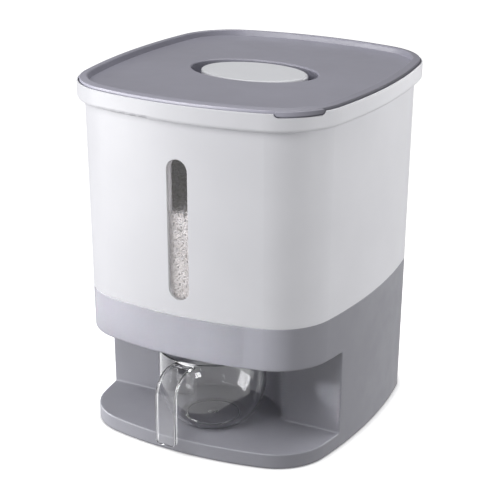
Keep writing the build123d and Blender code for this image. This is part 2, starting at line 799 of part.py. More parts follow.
with BuildPart() as measuring_cup:
    with BuildSketch(cup_side):
        add(handle_strap(handle_rib_depth))
    extrude(amount=handle_width / 2, both=True)
    with BuildSketch(cup_side):
        add(handle_strap(handle_rib_depth))
        add(handle_strap(handle_thickness), mode=Mode.SUBTRACT)
    extrude(amount=handle_width / 2 - handle_rib_width, both=True, mode=Mode.SUBTRACT)
    with BuildSketch(cup_section) as front_view:
        with Locations((0, handle_end_clearance)):
            Rectangle(handle_width, cup_height, align=(Align.CENTER, Align.MIN))
        fillet(front_view.vertices().group_by(Axis.Z)[0], handle_end_radius)
    extrude(amount=cup_radius + handle_reach + overrun, mode=Mode.INTERSECT)
    with BuildSketch(cup_section):
        with BuildLine():
            wall_top = (cup_radius, cup_height)
            CenterArc((0, cup_equator), cup_radius, -foot_angle, foot_angle)
            Line((cup_radius, cup_equator), wall_top)
            Line(wall_top, (cup_inner_radius, cup_height))
            Line((cup_inner_radius, cup_height), (cup_inner_radius, cup_equator))
            inner = CenterArc((0, cup_equator), cup_inner_radius, -floor_angle, floor_angle)
            Line(inner @ 0, (0, cup_floor))
            Line((0, cup_floor), (0, 0))
            Line((0, 0), (cup_radius * math.cos(math.radians(foot_angle)), 0))
        make_face()
    revolve(axis=Axis((0, cup_y, 0), (0, 0, 1)))
    with Locations((0, cup_y)):
        post(cup_base_radius, cup_bottom - overrun, cup_bottom + cup_base_hollow, Mode.SUBTRACT)
        post(cup_nub_radius, cup_bottom + cup_base_hollow / 2, cup_bottom + cup_floor)
turned_cup = measuring_cup.part.rotate(Axis((0, cup_y, 0), (0, 0, 1)), -cup_turn)
finish(turned_cup, "measuring_cup")
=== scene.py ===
import math
import random

import bmesh
import bpy
from mathutils import Matrix, Vector


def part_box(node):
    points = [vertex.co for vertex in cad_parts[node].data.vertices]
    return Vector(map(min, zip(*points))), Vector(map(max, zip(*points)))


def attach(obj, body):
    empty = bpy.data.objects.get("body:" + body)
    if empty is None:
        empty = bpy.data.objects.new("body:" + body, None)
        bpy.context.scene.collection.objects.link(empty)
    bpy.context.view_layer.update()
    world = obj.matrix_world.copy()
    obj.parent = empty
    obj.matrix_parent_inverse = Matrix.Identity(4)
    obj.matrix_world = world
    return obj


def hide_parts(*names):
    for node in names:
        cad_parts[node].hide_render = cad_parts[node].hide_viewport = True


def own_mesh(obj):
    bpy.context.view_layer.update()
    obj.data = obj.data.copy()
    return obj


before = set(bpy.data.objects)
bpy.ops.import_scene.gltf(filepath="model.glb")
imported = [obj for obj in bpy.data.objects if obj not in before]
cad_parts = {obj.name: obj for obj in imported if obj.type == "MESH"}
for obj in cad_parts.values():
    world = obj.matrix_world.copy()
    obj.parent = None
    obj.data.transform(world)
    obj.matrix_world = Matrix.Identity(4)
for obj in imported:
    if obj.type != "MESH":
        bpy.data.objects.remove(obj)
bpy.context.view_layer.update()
MM = 0.001

# Where the dispenser's own pieces are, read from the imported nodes
cup_low, cup_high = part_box("measuring_cup")
pane_low, pane_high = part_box("window_pane")


# Shader building

def linear(hex_colour):
    """An sRGB hex value as linear red, green, blue and full alpha."""
    channels = [int(hex_colour[i : i + 2], 16) / 255 for i in (0, 2, 4)]
    return [c / 12.92 if c <= 0.04045 else ((c + 0.055) / 1.055) ** 2.4 for c in channels] + [1.0]


def per_size(size_mm):
    """Pattern scale that gives features of a size in millimetres on Object coordinates."""
    return 1 / (size_mm * MM)


def add_node(tree, kind, settings=None, feeds=None):
    """Adds a shader node, sets its sockets and properties by name, and links what feeds it."""
    made = tree.nodes.new("ShaderNode" + kind)
    for key, value in (settings or {}).items():
        if isinstance(key, int) or key in made.inputs:
            made.inputs[key].default_value = value
        else:
            setattr(made, key, value)
    for key, source in (feeds or {}).items():
        tree.links.new(source, made.inputs[key])
    return made


def new_material(name, **sockets):
    """A material with its Principled shader's own sockets set; returns it with its tree and shader."""
    made = bpy.data.materials.new(name)
    made.use_nodes = True
    tree = made.node_tree
    shader = tree.nodes["Principled BSDF"]
    for key, value in sockets.items():
        shader.inputs[key.replace("_", " ")].default_value = value
    return made, tree, shader


def moulded(name, pale, deep, rough, grain_mm, grain_depth_mm, ior, edge_mm, sheen_level=0.5):
    """Injection-moulded plastic: faint clouds, uneven gloss, fine tool grain and rounded edges."""
    cloud_mm = 55
    gloss_patch_mm = 18
    made, tree, shader = new_material(name, IOR=ior, Specular_IOR_Level=sheen_level)
    place = add_node(tree, "TexCoord").outputs["Object"]
    cloud = add_node(tree, "TexNoise", {"Scale": per_size(cloud_mm), "Detail": 3.0}, {"Vector": place})
    tone = add_node(tree, "ValToRGB", feeds={"Fac": cloud.outputs["Fac"]})
    tone.color_ramp.elements[0].position = 0.3
    tone.color_ramp.elements[1].position = 0.7
    tone.color_ramp.elements[0].color = linear(deep)
    tone.color_ramp.elements[1].color = linear(pale)
    tree.links.new(tone.outputs["Color"], shader.inputs["Base Color"])
    patch = add_node(
        tree, "TexNoise", {"Scale": per_size(gloss_patch_mm), "Detail": 2.0}, {"Vector": place}
    )
    gloss = add_node(
        tree,
        "MapRange",
        {"From Min": 0.3, "From Max": 0.7, "To Min": rough[0], "To Max": rough[1]},
        {"Value": patch.outputs["Fac"]},
    )
    tree.links.new(gloss.outputs["Result"], shader.inputs["Roughness"])
    grain = add_node(tree, "TexNoise", {"Scale": per_size(grain_mm), "Detail": 2.0}, {"Vector": place})
    edge = add_node(tree, "Bevel", {"samples": 6, "Radius": edge_mm * MM})
    bump = add_node(
        tree,
        "Bump",
        {"Strength": 1.0, "Distance": grain_depth_mm * MM},
        {"Height": grain.outputs["Fac"], "Normal": edge.outputs["Normal"]},
    )
    tree.links.new(bump.outputs["Normal"], shader.inputs["Normal"])
    return made


# White polypropylene, moulded in a polished tool: smooth and satin, with a slight orange-peel ripple.
white_polypropylene = moulded(
    "white_polypropylene_moulded", "ececf1", "e8e8ed", (0.34, 0.42), 4.0, 0.012,
    ior=1.49, edge_mm=0.6,
)

# Light grey ABS from a spark-eroded tool: soft sheen broken by a fine grain.
# The real grain is about 0.3 mm; it is drawn at 1.4 mm, since finer than a pixel it would not show.
grey_abs = moulded(
    "light_grey_abs_moulded", "8b8b93", "86868e", (0.38, 0.48), 1.4, 0.016,
    ior=1.53, edge_mm=1.8, sheen_level=0.7,
)

# Mid grey ABS of the lid, with the same fine grain and a flatter sheen.
lid_abs = moulded(
    "mid_grey_abs_moulded", "9f9eab", "9998a4", (0.28, 0.36), 1.4, 0.016,
    ior=1.53, edge_mm=0.4, sheen_level=0.7,
)

# Pale grey ABS of the grip: smoother, so that its rounded edge catches the light.
pale_abs = moulded(
    "pale_grey_abs_moulded", "e1e2e6", "dcdde1", (0.32, 0.40), 2.5, 0.01, ior=1.53, edge_mm=0.3
)

# Grey rubber of the feet: dull, slightly rough.
moulded_rubber = moulded(
    "grey_rubber_moulded", "4a4a4d", "424245", (0.72, 0.85), 1.2, 0.03, ior=1.52, edge_mm=0.2
)

# Milky silicone of the lid's seal and the window's gasket: soft sheen.
moulded_silicone = moulded(
    "milky_silicone_moulded", "dcdcda", "d4d4d2", (0.45, 0.55), 1.6, 0.01, ior=1.41, edge_mm=0.2
)


def zinc_plate():
    """Zinc-plated steel: pale grey metal with the plating's cloudy spangle."""
    spangle_mm = 1.5
    made, tree, shader = new_material("zinc_plated_steel", Metallic=1.0)
    place = add_node(tree, "TexCoord").outputs["Object"]
    spangle = add_node(tree, "TexVoronoi", {"Scale": per_size(spangle_mm)}, {"Vector": place})
    tone = add_node(tree, "ValToRGB", feeds={"Fac": spangle.outputs["Color"]})
    tone.color_ramp.elements[0].color = linear("a3a5a8")
    tone.color_ramp.elements[1].color = linear("c4c6c8")
    tree.links.new(tone.outputs["Color"], shader.inputs["Base Color"])
    gloss = add_node(
        tree, "MapRange", {"To Min": 0.24, "To Max": 0.4}, {"Value": spangle.outputs["Distance"]}
    )
    tree.links.new(gloss.outputs["Result"], shader.inputs["Roughness"])
    return made


zinc_steel = zinc_plate()


def clear_styrene(name, tint):
    """Clear polystyrene, polished: full transmission, with a faint flow ripple from moulding."""
    ripple_mm = 14
    ripple_depth_mm = 0.02
    made, tree, shader = new_material(
        name, Transmission_Weight=1.0, IOR=1.55, Base_Color=linear(tint)
    )
    place = add_node(tree, "TexCoord").outputs["Object"]
    ripple = add_node(
        tree, "TexNoise", {"Scale": per_size(ripple_mm), "Detail": 1.0}, {"Vector": place}
    )
    gloss = add_node(
        tree, "MapRange", {"To Min": 0.0, "To Max": 0.04}, {"Value": ripple.outputs["Fac"]}
    )
    tree.links.new(gloss.outputs["Result"], shader.inputs["Roughness"])
    bump = add_node(
        tree,
        "Bump",
        {"Strength": 1.0, "Distance": ripple_depth_mm * MM},
        {"Height": ripple.outputs["Fac"]},
    )
    tree.links.new(bump.outputs["Normal"], shader.inputs["Normal"])
    return made


# Clear polystyrene of the cup: glassy and colourless, so that it shows by its edges and highlights.
clear_plastic = clear_styrene("clear_polystyrene_moulded", "fcfcfd")

# Clear polystyrene of the window, with the same polish and a slightly darker tint as painted shade: the
# tint darkens the hopper's inside seen through the pane, which casts no shadow
shade_tinted_plastic = clear_styrene("shade_tinted_polystyrene_moulded", "d8d5d5")


def white_rice(name, pale, deep):
    """Polished white rice: waxy, slightly translucent, each grain its own tone from chalky to glassy."""
    grain_mm = 3.2
    grain_relief_mm = 0.3
    glow_depth_mm = 1.2
    made, tree, shader = new_material(
        name,
        IOR=1.45,
        Subsurface_Weight=0.25,
        Subsurface_Scale=glow_depth_mm * MM,
        Subsurface_Radius=(1.0, 0.9, 0.8),
    )
    place = add_node(tree, "TexCoord").outputs["Object"]
    cell = add_node(tree, "TexVoronoi", {"Scale": per_size(grain_mm)}, {"Vector": place})
    tone = add_node(tree, "ValToRGB", feeds={"Fac": cell.outputs["Color"]})
    tone.color_ramp.elements[0].position = 0.2
    tone.color_ramp.elements[1].position = 0.8
    tone.color_ramp.elements[0].color = linear(deep)
    tone.color_ramp.elements[1].color = linear(pale)
    tree.links.new(tone.outputs["Color"], shader.inputs["Base Color"])
    gloss = add_node(
        tree, "MapRange", {"To Min": 0.3, "To Max": 0.5}, {"Value": cell.outputs["Distance"]}
    )
    tree.links.new(gloss.outputs["Result"], shader.inputs["Roughness"])
    bump = add_node(
        tree,
        "Bump",
        {"Strength": 0.6, "Distance": grain_relief_mm * MM},
        {"Height": cell.outputs["Distance"]},
    )
    bump.invert = True
    tree.links.new(bump.outputs["Normal"], shader.inputs["Normal"])
    return made


# Materials of the CAD nodes
node_materials = {
    "bucket": white_polypropylene,
    "window_frame": white_polypropylene,
    "funnel": white_polypropylene,
    "base_shell": grey_abs,
    "bottom_cover": grey_abs,
    "gate_rail_left": grey_abs,
    "gate_rail_right": grey_abs,
    "gate_plate": grey_abs,
    "push_paddle": grey_abs,
    "lid": lid_abs,
    "lid_grip": pale_abs,
    "window_pane": shade_tinted_plastic,
    "measuring_cup": clear_plastic,
    "lid_seal": moulded_silicone,
    "rubber_feet": moulded_rubber,
    "window_gasket": moulded_silicone,
}
for name, cad_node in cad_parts.items():
    cad_node.data.materials.clear()
    cad_node.data.materials.append(node_materials.get(name, zinc_steel))


# Modelling steps

def begin(name):
    """Names the primitive just added, moves its place into its mesh and opens it for editing."""
    piece = bpy.context.object
    piece.name = name
    piece.data.name = name
    bpy.ops.object.transform_apply(location=True, rotation=True, scale=True)
    bpy.ops.object.mode_set(mode="EDIT")
    return piece


def pick(piece, mode, test):
    """Selects the vertices, edges or faces whose centre passes a test, and nothing else."""
    bpy.ops.mesh.select_mode(type=mode)
    bpy.ops.mesh.select_all(action="DESELECT")
    shape = bmesh.from_edit_mesh(piece.data)
    group = {"VERT": shape.verts, "EDGE": shape.edges, "FACE": shape.faces}[mode]
    for part in group:
        if mode == "VERT":
            centre = part.co
        elif mode == "EDGE":
            centre = (part.verts[0].co + part.verts[1].co) / 2
        else:
            centre = part.calc_center_median()
        part.select_set(bool(test(centre, part)))
    shape.select_flush_mode()
    bmesh.update_edit_mesh(piece.data)


def near(a, b):
    """True where two lengths agree within a hundredth of a millimetre."""
    return abs(a - b) < 0.01 * MM


def modify(piece, kind, **settings):
    """Adds a modifier with its settings and applies it."""
    bpy.context.view_layer.objects.active = piece
    modifier = piece.modifiers.new(kind.title(), kind)
    for key, value in settings.items():
        setattr(modifier, key, value)
    bpy.ops.object.modifier_apply(modifier=modifier.name)


def close_up(piece, smooth_angle):
    """Merges doubles, points the faces outwards, leaves edit mode and smooths the shading."""
    bpy.ops.mesh.select_all(action="SELECT")
    bpy.ops.mesh.remove_doubles(threshold=0.005 * MM)
    bpy.ops.mesh.normals_make_consistent(inside=False)
    bpy.ops.object.mode_set(mode="OBJECT")
    bpy.ops.object.select_all(action="DESELECT")
    piece.select_set(True)
    bpy.context.view_layer.objects.active = piece
    bpy.ops.object.shade_smooth_by_angle(angle=math.radians(smooth_angle))


def dress(piece, material, body, replaced=()):
    """Gives a finished piece its material and body, and hides the CAD nodes that it stands for."""
    piece.data.materials.clear()
    piece.data.materials.append(material)
    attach(piece, body)
    if replaced:
        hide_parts(*replaced)


# Measuring cup: part of a sphere below, a short upright wall above, a hollow foot and a strap handle
cup_radius = (cup_high.x - cup_low.x) / 2
cup_y = cup_high.y - cup_radius
cup_floor_z = cup_low.z
cup_equator_z = cup_floor_z + 36.0 * MM
cup_wall = 1.8 * MM
foot_ring_radius = 22.8 * MM
foot_hollow = 1.0 * MM
nub_radius = 2.4 * MM
nub_rise = 0.9 * MM
bowl_edge_round = 0.8 * MM
handle_width = 19.2 * MM
handle_web = 2.2 * MM
handle_rib = 1.5 * MM
handle_depth = 3.6 * MM
handle_bend = 22.0 * MM
handle_top_z = cup_high.z - 1.0 * MM
handle_front_y = cup_y - cup_radius - 31.0 * MM
handle_end_z = cup_floor_z + 4.4 * MM
handle_corner = 4.0 * MM
handle_edge_round = 0.45 * MM
cup_turn = math.radians(-1.6)


def cup_bowl():
    """The bowl: a sphere cut at its equator, drawn up to the rim and hollowed under its foot."""
    bpy.ops.object.select_all(action="DESELECT")
    bpy.ops.mesh.primitive_uv_sphere_add(
        segments=96, ring_count=64, radius=cup_radius, location=(0, cup_y, cup_equator_z)
    )
    bowl = begin("clear_cup")
    bpy.ops.mesh.select_all(action="SELECT")
    bpy.ops.mesh.bisect(plane_co=(0, cup_y, cup_equator_z), plane_no=(0, 0, 1), clear_outer=True)
    pick(bowl, "VERT", lambda c, v: near(c.z, cup_equator_z))
    bpy.ops.mesh.extrude_region_move(
        TRANSFORM_OT_translate={"value": (0, 0, cup_high.z - cup_equator_z)}
    )
    bpy.ops.mesh.select_all(action="SELECT")
    bpy.ops.mesh.bisect(
        plane_co=(0, cup_y, cup_floor_z), plane_no=(0, 0, 1), clear_inner=True, use_fill=True
    )
    foot_radius = math.sqrt(cup_radius**2 - (cup_equator_z - cup_floor_z) ** 2)
    pick(bowl, "FACE", lambda c, f: near(c.z, cup_floor_z) and f.normal.z < -0.9)
    bpy.ops.mesh.inset(thickness=foot_radius - foot_ring_radius, depth=0)
    bpy.ops.mesh.extrude_region_move(TRANSFORM_OT_translate={"value": (0, 0, foot_hollow)})
    bpy.ops.mesh.inset(thickness=foot_ring_radius - nub_radius, depth=0)
    bpy.ops.mesh.extrude_region_move(TRANSFORM_OT_translate={"value": (0, 0, nub_rise)})
    close_up(bowl, 40)
    modify(bowl, "SOLIDIFY", thickness=cup_wall, offset=-1.0, use_even_offset=True)
    modify(
        bowl,
        "BEVEL",
        width=bowl_edge_round,
        segments=4,
        limit_method="ANGLE",
        angle_limit=math.radians(40),
    )
    return bowl


def cup_handle():
    """The strap: a channel section drawn forwards, turned down through the bend and drawn to its end."""
    start_y = cup_y - cup_radius + cup_wall / 2
    turn_y = handle_front_y + handle_bend
    turn_z = handle_top_z - handle_bend
    bpy.ops.object.select_all(action="DESELECT")
    bpy.ops.mesh.primitive_plane_add(
        size=1, location=(0, start_y, handle_top_z - handle_web / 2), rotation=(math.pi / 2, 0, 0)
    )
    bpy.context.object.scale = (handle_width, handle_web, 1)
    strap = begin("clear_cup_handle")
    rib_x = handle_width / 2 - handle_rib
    for side in (-1, 1):
        bpy.ops.mesh.select_all(action="SELECT")
        bpy.ops.mesh.bisect(plane_co=(side * rib_x, 0, 0), plane_no=(1, 0, 0))
    pick(strap, "EDGE", lambda c, e: near(c.z, handle_top_z - handle_web) and abs(c.x) > rib_x)
    bpy.ops.mesh.extrude_region_move(
        TRANSFORM_OT_translate={"value": (0, 0, handle_web - handle_depth)}
    )
    pick(strap, "FACE", lambda c, f: True)
    bpy.ops.mesh.extrude_region_move(TRANSFORM_OT_translate={"value": (0, turn_y - start_y, 0)})
    bpy.ops.mesh.spin(
        steps=18, angle=-math.pi / 2, center=(0, turn_y, turn_z), axis=(1, 0, 0), use_normal_flip=False
    )
    pick(strap, "FACE", lambda c, f: near(c.z, turn_z) and abs(f.normal.z) > 0.9)
    bpy.ops.mesh.extrude_region_move(TRANSFORM_OT_translate={"value": (0, 0, handle_end_z - turn_z)})
    close_up(strap, 40)
    outline = handle_outline()
    modify(strap, "BOOLEAN", operation="INTERSECT", object=outline, solver="EXACT")
    bpy.data.objects.remove(outline)
    modify(
        strap,
        "BEVEL",
        width=handle_edge_round,
        segments=3,
        limit_method="ANGLE",
        angle_limit=math.radians(50),
    )
    return strap


def handle_outline():
    """The strap's outline from the front, as a block with round lower corners."""
    length = 60.0 * MM
    rise = 80.0 * MM
    overlap = 10.0 * MM
    bpy.ops.object.select_all(action="DESELECT")
    bpy.ops.mesh.primitive_cube_add(
        size=1, location=(0, cup_y - cup_radius - length / 2 + overlap, handle_end_z + rise / 2)
    )
    bpy.context.object.scale = (handle_width, length, rise)
    block = begin("handle_outline")
    pick(block, "EDGE", lambda c, e: near(c.z, handle_end_z) and abs(c.x) > handle_width / 3)
    bpy.ops.mesh.bevel(offset=handle_corner, segments=6)
    close_up(block, 40)
    return block


clear_cup = cup_bowl()
handle = cup_handle()
modify(clear_cup, "BOOLEAN", operation="UNION", object=handle, solver="EXACT")
bpy.data.objects.remove(handle)
cup_axis = Matrix.Translation((0, cup_y, 0))
clear_cup.data.transform(cup_axis @ Matrix.Rotation(cup_turn, 4, "Z") @ cup_axis.inverted())
modify(clear_cup, "WEIGHTED_NORMAL", keep_sharp=True)
dress(clear_cup, clear_plastic, "cup", ["measuring_cup"])


# Return springs: a coil of round wire with a closed turn at each end
spring_wire = 1.0 * MM
spring_turns = 9
wire_sides = 8
steps_per_turn = 20
end_ring_steps = 24


def return_spring(name, low, high):
    """One helical spring between two corners of its box."""
    coil_radius = (high.x - low.x - spring_wire) / 2
    length = high.y - low.y - spring_wire
    centre = (low + high) / 2
    bpy.ops.object.select_all(action="DESELECT")
    bpy.ops.mesh.primitive_circle_add(
        vertices=wire_sides, radius=spring_wire / 2, location=(coil_radius, 0, 0)
    )
    coil = begin(name)
    bpy.ops.object.mode_set(mode="OBJECT")
    modify(
        coil,
        "SCREW",
        axis="Y",
        angle=2 * math.pi,
        screw_offset=length / spring_turns,
        iterations=spring_turns,
        steps=steps_per_turn,
        render_steps=steps_per_turn,
    )
    coil.location = (centre.x, low.y + spring_wire / 2, centre.z)
    bpy.ops.object.transform_apply(location=True, rotation=False, scale=False)
    for end_y in (low.y + spring_wire / 2, high.y - spring_wire / 2):
        bpy.ops.object.select_all(action="DESELECT")
        bpy.ops.mesh.primitive_torus_add(
            major_segments=end_ring_steps,
            minor_segments=wire_sides,
            major_radius=coil_radius,
            minor_radius=spring_wire / 2,
            location=(centre.x, end_y, centre.z),
            rotation=(math.pi / 2, 0, 0),
        )
        ring = bpy.context.object
        bpy.ops.object.transform_apply(location=True, rotation=True, scale=True)
        coil.select_set(True)
        ring.select_set(True)
        bpy.context.view_layer.objects.active = coil
        bpy.ops.object.join()
    bpy.ops.object.mode_set(mode="EDIT")
    close_up(coil, 60)
    return coil


for hand in ("left", "right"):
    node = f"return_spring_{hand}"
    low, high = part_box(node)
    spring = return_spring(f"coiled_spring_{hand}", low, high)
    dress(spring, zinc_steel, "base", [node])
    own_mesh(spring)


# Rice in the hopper: a bed that fills it up to the level in the window, and loose grains where it shows
rice_level = 213.5 * MM
rice_pale = white_rice("polished_rice_grains", "f5f4f5", "dddbdb")
rice_bulk = white_rice("polished_rice_bed", "dedcda", "cfccc9")
grain_length = 5.6 * MM
grain_width = 2.0 * MM
wall_gap = 0.8 * MM
strewn_count = 4200
chance = random.Random(7)


def body_plan(grow):
    """Points round the body's plan, grown evenly: bowed front, back and sides, and rounded corners."""
    front_radius, half_depth = 309.0 * MM, 128.4 * MM
    side_radius, half_width = 485.0 * MM, 116.0 * MM
    corner = 49.0 * MM
    bow_steps = 6
    corner_steps = 12
    front_offset = front_radius - half_depth
    side_offset = side_radius - half_width
    front_reach = front_radius - corner
    side_reach = side_radius - corner
    apart = math.hypot(front_offset, side_offset)
    along = (front_reach**2 - side_reach**2 + apart**2) / (2 * apart)
    across = math.sqrt(front_reach**2 - along**2)
    corner_x = (across * front_offset - along * side_offset) / apart
    corner_y = (across * side_offset + along * front_offset) / apart - front_offset
    front_turn = math.atan2(corner_x, corner_y + front_offset)
    side_turn = math.atan2(corner_y, corner_x + side_offset)
    quarter = []
    for step in range(bow_steps):
        turn = front_turn * step / bow_steps
        reach = front_radius + grow
        quarter.append((reach * math.sin(turn), reach * math.cos(turn) - front_offset))
    for step in range(corner_steps + 1):
        turn = front_turn + (math.pi / 2 - side_turn - front_turn) * step / corner_steps
        reach = corner + grow
        quarter.append((corner_x + reach * math.sin(turn), corner_y + reach * math.cos(turn)))
    for step in range(1, bow_steps + 1):
        turn = side_turn * (1 - step / bow_steps)
        reach = side_radius + grow
        quarter.append((reach * math.cos(turn) - side_offset, reach * math.sin(turn)))
    right = quarter + [(x, -y) for x, y in quarter[-2::-1]]
    return right + [(-x, y) for x, y in right[-2:0:-1]]


pane_thickness = 1.6 * MM
pane_lean = (pane_high.y - pane_low.y - pane_thickness) / (pane_high.z - pane_low.z)


def pane_back(height):
    """The Y of the pane's inner face at a height."""
    return pane_high.y - pane_lean * (height - pane_low.z)


def rice_bed():
    """The bulk of the rice: the hopper's plan drawn up and cut by the funnel's four slopes."""
    outlet = Vector((28.0, -66.0, 104.5)) * MM
    outlet_half = 3.25 * MM
    bottom_z = 108.0 * MM
    bottom_shrink = 4.8 * MM
    top_shrink = 0.25 * MM + wall_gap
    side_slope, back_slope, front_slope = math.radians(32), math.radians(30), math.radians(22)
    shape = bmesh.new()
    rings = []
    for level, shrink in ((bottom_z, bottom_shrink), (rice_level, top_shrink)):
        rings.append([shape.verts.new((x, y, level)) for x, y in body_plan(-shrink)])
    shape.faces.new(rings[0])
    shape.faces.new(rings[1])
    count = len(rings[0])
    for i in range(count):
        j = (i + 1) % count
        shape.faces.new((rings[0][i], rings[0][j], rings[1][j], rings[1][i]))
    slopes = (
        ((outlet.x, 0, outlet.z), (1, 0, -1 / math.tan(side_slope))),
        ((-outlet.x, 0, outlet.z), (-1, 0, -1 / math.tan(side_slope))),
        ((0, outlet.y + outlet_half, outlet.z), (0, 1, -1 / math.tan(back_slope))),
        ((0, outlet.y - outlet_half, outlet.z), (0, -1, -1 / math.tan(front_slope))),
    )
    for point, outwards in slopes:
        cut = bmesh.ops.bisect_plane(
            shape,
            geom=shape.verts[:] + shape.edges[:] + shape.faces[:],
            plane_co=Vector(point) + Vector((0, 0, wall_gap)),
            plane_no=Vector(outwards),
            clear_outer=True,
        )
        rim = [part for part in cut["geom_cut"] if isinstance(part, bmesh.types.BMEdge)]
        bmesh.ops.contextual_create(shape, geom=rim)
    bmesh.ops.recalc_face_normals(shape, faces=shape.faces[:])
    mesh = bpy.data.meshes.new("rice_bed")
    shape.to_mesh(mesh)
    shape.free()
    bed = bpy.data.objects.new("rice_bed", mesh)
    bpy.context.scene.collection.objects.link(bed)
    return bed


def window_let_in(bed):
    """Cuts room for the window's frame and the loose grains out of the bed's front."""
    frame_low, frame_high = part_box("window_frame")
    grain_room = 2.6 * MM
    side_room = 1.5 * MM
    run_out = 20 * MM
    back = frame_high.y + grain_room
    front = frame_low.y - run_out
    top = rice_level + run_out
    bottom = frame_low.z - side_room
    width = frame_high.x - frame_low.x + 2 * side_room
    bpy.ops.object.select_all(action="DESELECT")
    bpy.ops.mesh.primitive_cube_add(
        size=1, location=(0, (front + back) / 2, (top + bottom) / 2)
    )
    cutter = bpy.context.object
    cutter.scale = (width, back - front, top - bottom)
    bpy.ops.object.transform_apply(location=True, rotation=True, scale=True)
    modify(bed, "BOOLEAN", operation="DIFFERENCE", object=cutter, solver="EXACT")
    bpy.data.objects.remove(cutter)


def one_grain(segments, rings):
    """A rice grain lying along X: long and round, a little fuller at one end and slightly flat."""
    end_fullness = 0.25
    flatness = 0.85
    bpy.ops.object.select_all(action="DESELECT")
    bpy.ops.mesh.primitive_uv_sphere_add(
        segments=segments, ring_count=rings, radius=0.5, rotation=(0, math.pi / 2, 0)
    )
    grain = bpy.context.object
    bpy.ops.object.transform_apply(location=True, rotation=True, scale=True)
    for point in grain.data.vertices:
        fullness = 1 + end_fullness * point.co.x
        point.co = Vector(
            (
                point.co.x * grain_length,
                point.co.y * fullness * grain_width,
                point.co.z * fullness * grain_width * flatness,
            )
        )
    for face in grain.data.polygons:
        face.use_smooth = True
    return grain


def pour(name, grain, places):
    """Joins copies of a grain at many places into one piece."""
    shape = bmesh.new()
    for place in places:
        grain.data.transform(place)
        shape.from_mesh(grain.data)
        grain.data.transform(place.inverted())
    mesh = bpy.data.meshes.new(name)
    shape.to_mesh(mesh)
    shape.free()
    poured = bpy.data.objects.new(name, mesh)
    bpy.context.scene.collection.objects.link(poured)
    return poured


def window_places():
    """Grains pressed against the pane, in layers of a loose grid, each lying at its own angle."""
    slot_half = 9.5 * MM
    slot_low = pane_low.z + 3.0 * MM
    first_row = 1.4 * MM
    row_step = grain_width * 0.8
    spread = 0.35 * grain_width
    upright_room = 1.8 * MM
    free_room = 2.0 * MM
    # Each layer's depth behind the pane and its distance from the slot's edge, in millimetres
    layers = ((1.05, 0.9), (2.7, 0.9), (4.4, 0.9), (6.9, -3.0))
    places = []
    for depth, inset in layers:
        row = 0
        z = slot_low + first_row
        while z < rice_level:
            rise = max(0.0, slot_low + slot_half - z)
            across = math.sqrt(max(0.0, slot_half**2 - rise**2)) - inset * MM
            x = -across + (row % 2) * row_step
            while x <= across:
                turn = chance.uniform(0, math.pi)
                room = across - abs(x)
                if room < upright_room:
                    turn = math.pi / 2 + chance.uniform(-0.3, 0.3)
                height = z + chance.uniform(-spread, spread)
                side = x + chance.uniform(-spread, spread) * min(1.0, room / free_room)
                back = pane_back(height) + depth * MM + chance.uniform(0, 0.3) * MM
                spot = Vector((side, back, height))
                lean = Matrix.Rotation(chance.uniform(-0.1, 0.1), 4, "Z")
                spin = Matrix.Rotation(-turn, 4, "Y")
                roll = Matrix.Rotation(math.pi / 2, 4, "X")
                size = Matrix.Scale(chance.uniform(0.8, 1.08), 4)
                places.append(Matrix.Translation(spot) @ lean @ spin @ roll @ size)
                x += grain_width * chance.uniform(1.0, 1.35)
            z += row_step
            row += 1
    return places


def top_places(count):
    """Grains strewn over the bed's top, each lying nearly flat at its own angle."""
    half_x = 111.0 * MM
    half_y = 123.0 * MM
    wall_room = 6.0 * MM
    window_half = 18.0 * MM
    window_room = 6.0 * MM
    plan = body_plan(-wall_room)
    places = []
    while len(places) < count:
        x, y = chance.uniform(-half_x, half_x), chance.uniform(-half_y, half_y)
        inside = False
        for (ax, ay), (bx, by) in zip(plan, plan[1:] + plan[:1]):
            if (ay > y) != (by > y) and x < (bx - ax) * (y - ay) / (by - ay) + ax:
                inside = not inside
        by_window = abs(x) < window_half and y < pane_back(rice_level) + window_room
        if not inside or by_window:
            continue
        spot = Vector((x, y, rice_level + chance.uniform(0.1, 0.9) * MM))
        spin = Matrix.Rotation(chance.uniform(0, 2 * math.pi), 4, "Z")
        lean = Matrix.Rotation(chance.uniform(-0.3, 0.3), 4, "Y")
        size = Matrix.Scale(chance.uniform(0.86, 1.08), 4)
        places.append(Matrix.Translation(spot) @ spin @ lean @ size)
    return places


bed = rice_bed()
window_let_in(bed)
dress(bed, rice_bulk, "base")
near_grain = one_grain(8, 6)
window_grains = pour("rice_at_window", near_grain, window_places())
dress(window_grains, rice_pale, "base")
bpy.data.objects.remove(near_grain)
strewn_grain = one_grain(6, 4)
top_grains = pour("rice_on_top", strewn_grain, top_places(strewn_count))
dress(top_grains, rice_pale, "base")
bpy.data.objects.remove(strewn_grain)
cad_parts["window_pane"].visible_shadow = False


# Stage: pale floor, soft lights and the camera at the photograph's angle

# Floor of pale matt paper, lit from within, with a painted contact shadow: its glow is darker where a
# piece stands close over it
floor_size = 12.0
painted_shadow_reach = 14 * MM
bpy.ops.object.select_all(action="DESELECT")
bpy.ops.mesh.primitive_plane_add(size=floor_size, location=(0, 0, 0))
floor = bpy.context.object
floor.name = "pale_floor"
floor_paint, floor_tree, floor_shader = new_material(
    "pale_studio_floor", Base_Color=linear("f4f4f4"), Roughness=0.9, Emission_Strength=0.85
)
